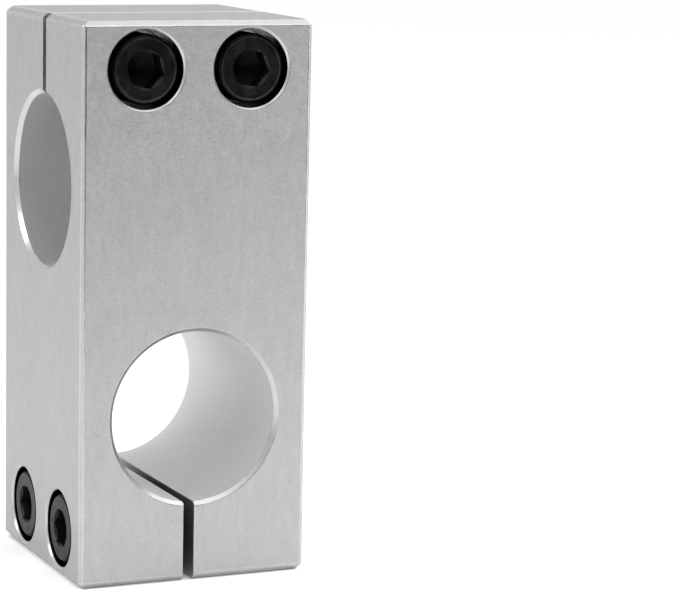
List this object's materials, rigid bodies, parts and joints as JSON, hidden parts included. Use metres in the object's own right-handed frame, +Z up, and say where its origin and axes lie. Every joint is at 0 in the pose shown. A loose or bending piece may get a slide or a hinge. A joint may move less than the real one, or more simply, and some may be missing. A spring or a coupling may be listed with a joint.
{
  "type": "shaft cross clamp",
  "caption": "Rectangular aluminium block that clamps crossing round shafts at right angles, with split bores that socket cap screws draw closed.",
  "frame": {"origin": "middle of the lower end face, on the surface that the block stands on", "axes": "+Z up along the block's length, front face towards -Y, left face towards -X; the lower bore runs along Y and the upper bore along X"},
  "size_m": [0.035, 0.035, 0.0815],
  "materials": {
    "block_aluminium": "fine matte blasted and clear anodised, with smoother machined bores",
    "screw_black_oxide": "black oxide on alloy steel, satin"
  },
  "bodies": {
    "block": {"clamp_block": "block_aluminium"},
    "upper_left_screw": {"upper_screw_left": "screw_black_oxide"},
    "upper_right_screw": {"upper_screw_right": "screw_black_oxide"},
    "lower_front_screw": {"lower_screw_front": "screw_black_oxide"},
    "lower_rear_screw": {"lower_screw_rear": "screw_black_oxide"}
  },
  "joints": [
    {"name": "upper_left_screw_turn", "type": "hinge", "parent": "block", "child": "upper_left_screw", "pos_m": [-0.008, -0.01115, 0.0745], "axis": [0, -1, 0], "range_deg": [0, 450]},
    {"name": "upper_right_screw_turn", "type": "hinge", "parent": "block", "child": "upper_right_screw", "pos_m": [0.008, -0.01115, 0.0745], "axis": [0, -1, 0], "range_deg": [0, 450]},
    {"name": "lower_front_screw_turn", "type": "hinge", "parent": "block", "child": "lower_front_screw", "pos_m": [-0.01115, -0.008, 0.007], "axis": [-1, 0, 0], "range_deg": [0, 450]},
    {"name": "lower_rear_screw_turn", "type": "hinge", "parent": "block", "child": "lower_rear_screw", "pos_m": [-0.01115, 0.008, 0.007], "axis": [-1, 0, 0], "range_deg": [0, 450]}
  ]
}
